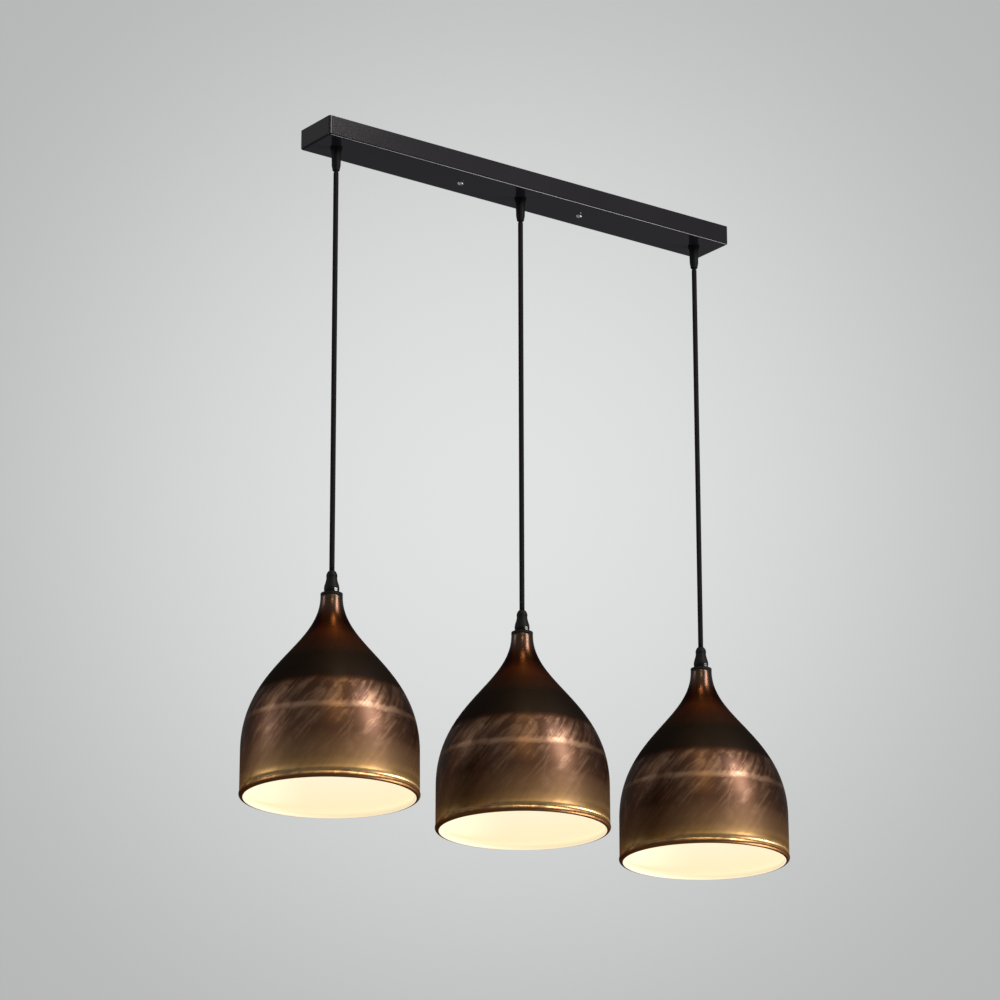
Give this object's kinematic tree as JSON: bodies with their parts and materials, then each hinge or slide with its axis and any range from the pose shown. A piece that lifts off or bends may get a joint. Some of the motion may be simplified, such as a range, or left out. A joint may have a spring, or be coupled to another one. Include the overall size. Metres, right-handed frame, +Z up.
{
  "type": "linear island pendant",
  "caption": "Long shallow black ceiling canopy with spun bell shades hung in a row on straight round cords, aged copper outside and white inside, each with a screw-in bulb.",
  "frame": {"origin": "middle of the mounting strap's top face, on the ceiling, midway between the two slots", "axes": "+Z up into the ceiling, +X along the canopy towards the right lamp, and -Y is the front"},
  "size_m": [0.73, 0.2, 0.794],
  "materials": {
    "canopy_black": "satin",
    "grip_black": "satin",
    "cord_black": "satin",
    "bright_screw": "satin",
    "zinc_steel": "satin",
    "aged_copper": "satin",
    "shade_white": "satin",
    "block_white": "satin",
    "brass_bright": "satin",
    "wire_brown": "satin",
    "wire_blue": "satin",
    "wire_green": "satin",
    "holder_dark": "satin",
    "holder_white": "gloss",
    "cap_metal": "satin",
    "tip_dark": "gloss",
    "frosted_glass": "satin"
  },
  "bodies": {
    "canopy": {"canopy_cover": "canopy_black", "mounting_strap": "zinc_steel", "cover_screws": "bright_screw", "canopy_grips": "grip_black", "grip_nuts": "zinc_steel", "cord_tails": "cord_black", "terminal_block": "block_white", "terminal_clamps": "brass_bright", "strap_screws": "zinc_steel", "live_wires": "wire_brown", "neutral_wires": "wire_blue", "earth_wires": "wire_green"},
    "left_bend": {"left_cord_bend": "cord_black"},
    "left_drop": {"left_cord": "cord_black"},
    "left_lamp": {"left_lower_grip": "grip_black", "left_grip_screw": "bright_screw", "left_neck_collar": "aged_copper", "left_nipple": "zinc_steel", "left_shade_nuts": "zinc_steel", "left_shade": "aged_copper", "left_inner_cord": "cord_black", "left_holder_cap": "holder_dark", "left_holder_body": "holder_white", "left_screw_shell": "brass_bright", "left_holder_contact": "brass_bright"},
    "left_tip": {"left_bulb_tip": "tip_dark"},
    "left_bulb": {"left_bulb_cap": "cap_metal", "left_bulb_glass": "frosted_glass"},
    "centre_bend": {"centre_cord_bend": "cord_black"},
    "centre_drop": {"centre_cord": "cord_black"},
    "centre_lamp": {"centre_lower_grip": "grip_black", "centre_grip_screw": "bright_screw", "centre_neck_collar": "aged_copper", "centre_nipple": "zinc_steel", "centre_shade_nuts": "zinc_steel", "centre_shade": "aged_copper", "centre_inner_cord": "cord_black", "centre_holder_cap": "holder_dark", "centre_holder_body": "holder_white", "centre_screw_shell": "brass_bright", "centre_holder_contact": "brass_bright"},
    "centre_tip": {"centre_bulb_tip": "tip_dark"},
    "centre_bulb": {"centre_bulb_cap": "cap_metal", "centre_bulb_glass": "frosted_glass"},
    "right_bend": {"right_cord_bend": "cord_black"},
    "right_drop": {"right_cord": "cord_black"},
    "right_lamp": {"right_lower_grip": "grip_black", "right_grip_screw": "bright_screw", "right_neck_collar": "aged_copper", "right_nipple": "zinc_steel", "right_shade_nuts": "zinc_steel", "right_shade": "aged_copper", "right_inner_cord": "cord_black", "right_holder_cap": "holder_dark", "right_holder_body": "holder_white", "right_screw_shell": "brass_bright", "right_holder_contact": "brass_bright"},
    "right_tip": {"right_bulb_tip": "tip_dark"},
    "right_bulb": {"right_bulb_cap": "cap_metal", "right_bulb_glass": "frosted_glass"}
  },
  "joints": [
    {"name": "left_swing", "type": "hinge", "parent": "canopy", "child": "left_bend", "pos_m": [-0.265, 0, -0.052], "axis": [1, 0, 0], "range_deg": [-30, 30]},
    {"name": "left_sway", "type": "hinge", "parent": "left_bend", "child": "left_drop", "pos_m": [-0.265, 0, -0.052], "axis": [0, 1, 0], "range_deg": [-4.5, 30]},
    {"name": "left_height", "type": "slide", "parent": "left_drop", "child": "left_lamp", "axis": [0, 0, 1], "range_m": [0, 0.2], "deforming": ["left_cord"]},
    {"name": "left_bulb_travel", "type": "slide", "parent": "left_lamp", "child": "left_tip", "axis": [0, 0, 1], "range_m": [-0.018, 0]},
    {"name": "left_bulb_turn", "type": "hinge", "parent": "left_tip", "child": "left_bulb", "pos_m": [-0.265, 0, -0.66], "axis": [0, 0, 1], "range_deg": [-1801, 0]},
    {"name": "centre_swing", "type": "hinge", "parent": "canopy", "child": "centre_bend", "pos_m": [0, 0, -0.052], "axis": [1, 0, 0], "range_deg": [-30, 30]},
    {"name": "centre_sway", "type": "hinge", "parent": "centre_bend", "child": "centre_drop", "pos_m": [0, 0, -0.052], "axis": [0, 1, 0], "range_deg": [-4.5, 4.5]},
    {"name": "centre_height", "type": "slide", "parent": "centre_drop", "child": "centre_lamp", "axis": [0, 0, 1], "range_m": [0, 0.2], "deforming": ["centre_cord"]},
    {"name": "centre_bulb_travel", "type": "slide", "parent": "centre_lamp", "child": "centre_tip", "axis": [0, 0, 1], "range_m": [-0.018, 0]},
    {"name": "centre_bulb_turn", "type": "hinge", "parent": "centre_tip", "child": "centre_bulb", "pos_m": [0, 0, -0.66], "axis": [0, 0, 1], "range_deg": [-1801, 0]},
    {"name": "right_swing", "type": "hinge", "parent": "canopy", "child": "right_bend", "pos_m": [0.265, 0, -0.052], "axis": [1, 0, 0], "range_deg": [-30, 30]},
    {"name": "right_sway", "type": "hinge", "parent": "right_bend", "child": "right_drop", "pos_m": [0.265, 0, -0.052], "axis": [0, 1, 0], "range_deg": [-30, 4.5]},
    {"name": "right_height", "type": "slide", "parent": "right_drop", "child": "right_lamp", "axis": [0, 0, 1], "range_m": [0, 0.2], "deforming": ["right_cord"]},
    {"name": "right_bulb_travel", "type": "slide", "parent": "right_lamp", "child": "right_tip", "axis": [0, 0, 1], "range_m": [-0.018, 0]},
    {"name": "right_bulb_turn", "type": "hinge", "parent": "right_tip", "child": "right_bulb", "pos_m": [0.265, 0, -0.66], "axis": [0, 0, 1], "range_deg": [-1801, 0]}
  ],
  "couplings": [
    {"joint": "left_bulb_turn", "follows": "left_bulb_travel", "rad_per_m": 1745.3},
    {"joint": "centre_bulb_turn", "follows": "centre_bulb_travel", "rad_per_m": 1745.3},
    {"joint": "right_bulb_turn", "follows": "right_bulb_travel", "rad_per_m": 1745.3}
  ]
}
